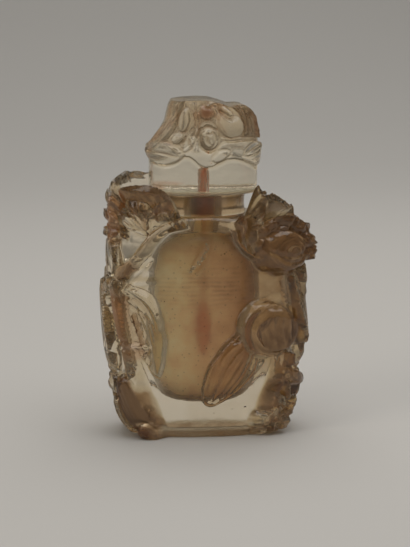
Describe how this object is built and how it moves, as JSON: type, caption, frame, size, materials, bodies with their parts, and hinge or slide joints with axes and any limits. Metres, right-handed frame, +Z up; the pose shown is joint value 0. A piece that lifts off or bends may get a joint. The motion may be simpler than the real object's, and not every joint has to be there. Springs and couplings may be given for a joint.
{
  "type": "snuff bottle",
  "caption": "Flattened rock crystal snuff bottle carved in relief with flowers and leaves, hollowed inside, with a carved stopper, a cork and a spoon.",
  "frame": {"origin": "middle of the flat underside, on the neck's axis", "axes": "+Z up along the neck, +X towards the right end as the carved front is seen, -Y out of the carved front"},
  "size_m": [0.047, 0.0225, 0.0726],
  "materials": {
    "bottle_crystal": "polished rock crystal with smoky brown skin in the relief and a ground, stained cavity",
    "stopper_crystal": "polished rock crystal with a few smoky patches",
    "cork": "dark stained cork",
    "spoon": "red-brown stained bone, lightly polished"
  },
  "bodies": {
    "root": {"bottle": "bottle_crystal", "stopper": "stopper_crystal", "cork": "cork", "spoon": "spoon"}
  },
  "joints": []
}
